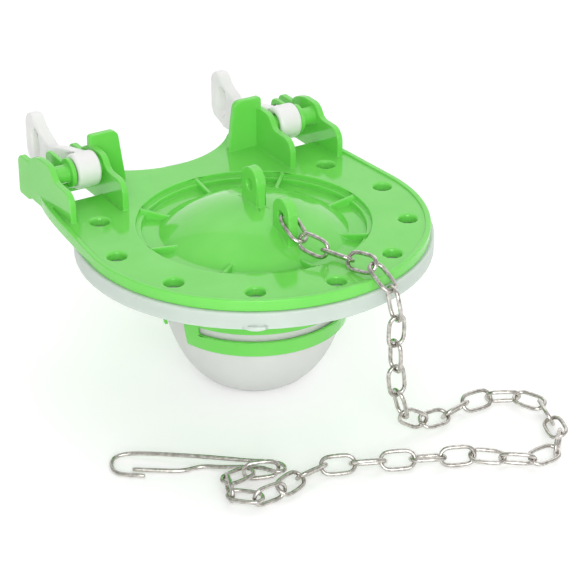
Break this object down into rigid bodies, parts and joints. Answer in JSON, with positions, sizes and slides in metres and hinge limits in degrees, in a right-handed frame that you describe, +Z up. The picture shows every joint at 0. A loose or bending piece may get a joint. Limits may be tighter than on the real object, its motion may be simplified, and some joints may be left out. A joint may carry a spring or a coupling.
{
  "type": "toilet flapper",
  "caption": "Cistern flapper: a disc frame with a dome and hinge brackets, a seal ring, a float cup, hinged arms and a link chain with a wire clip.",
  "frame": {"origin": "centre of the float cup's flat bottom, on the disc's axis", "axes": "+X along the hinge pins, +Y from the disc's centre towards the hinge, +Z up along the disc's axis"},
  "size_m": [0.1204, 0.1657, 0.0661],
  "materials": {
    "green_frame": "glossy moulded polypropylene",
    "seal": "satin silicone",
    "cup": "natural translucent polyethylene",
    "arm": "white moulded nylon",
    "wire": "bright stainless wire"
  },
  "bodies": {
    "frame": {"flapper_frame": "green_frame", "seal_ring": "seal", "float_cup": "cup", "chain_link_01": "wire", "chain_link_02": "wire", "chain_link_03": "wire", "chain_link_04": "wire", "chain_link_05": "wire", "chain_link_06": "wire", "chain_link_07": "wire", "chain_link_08": "wire", "chain_link_09": "wire", "chain_link_10": "wire", "chain_link_11": "wire", "chain_link_12": "wire", "chain_link_13": "wire", "chain_link_14": "wire", "chain_link_15": "wire", "chain_link_16": "wire", "chain_link_17": "wire", "chain_link_18": "wire", "chain_link_19": "wire", "chain_link_20": "wire", "chain_link_21": "wire", "chain_link_22": "wire", "chain_link_23": "wire", "chain_link_24": "wire", "chain_link_25": "wire", "chain_link_26": "wire", "chain_link_27": "wire", "chain_link_28": "wire", "chain_link_29": "wire", "chain_link_30": "wire", "chain_link_31": "wire", "chain_link_32": "wire", "chain_link_33": "wire", "chain_link_34": "wire", "chain_clip": "wire"},
    "left_arm": {"left_arm": "arm"},
    "right_arm": {"right_arm": "arm"}
  },
  "joints": [
    {"name": "left_arm_pivot", "type": "hinge", "parent": "frame", "child": "left_arm", "pos_m": [-0.0342, 0.0393, 0.0579], "axis": [1, 0, 0], "range_deg": [0, 95]},
    {"name": "right_arm_pivot", "type": "hinge", "parent": "frame", "child": "right_arm", "pos_m": [0.0342, 0.0393, 0.0579], "axis": [1, 0, 0], "range_deg": [0, 95]}
  ]
}
